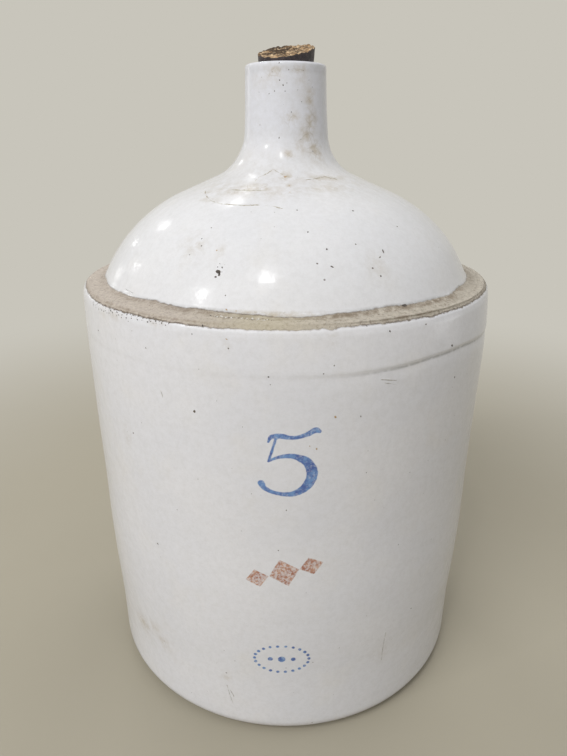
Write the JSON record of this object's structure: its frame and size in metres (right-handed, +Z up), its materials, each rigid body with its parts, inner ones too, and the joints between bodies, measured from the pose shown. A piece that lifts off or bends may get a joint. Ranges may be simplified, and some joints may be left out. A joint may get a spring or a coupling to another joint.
{
  "type": "stoneware shoulder jug",
  "caption": "Tall cylindrical glazed stoneware jug with a bare ledge, a domed shoulder, a narrow neck, a strap handle behind the neck and a broken cork.",
  "frame": {"origin": "centre of the foot, on the plane that the jug stands on", "axes": "+Z up along the jug's axis to the mouth, +Y to the handle, -Y to the front with the painted figure"},
  "size_m": [0.2999, 0.3, 0.4662],
  "materials": {
    "glazed_body": "glossy off-white glaze with fine iron specks over stoneware, bare tan clay on the ledge and foot",
    "glazed_top": "glossy off-white glaze with fine iron specks and crazing",
    "fired_slip": "matt unglazed clay slip, fired hard",
    "old_cork": "dark weathered cork with a tan broken face"
  },
  "bodies": {
    "jug": {"crock_body": "glazed_body", "shoulder_slip": "fired_slip", "shoulder_dome": "glazed_top", "neck_slip": "fired_slip", "neck": "glazed_top", "handle": "glazed_top"},
    "cork": {"cork": "old_cork"}
  },
  "joints": [
    {"name": "cork_pull", "type": "slide", "parent": "jug", "child": "cork", "axis": [0, 0, 1], "range_m": [0, 0.09]}
  ]
}
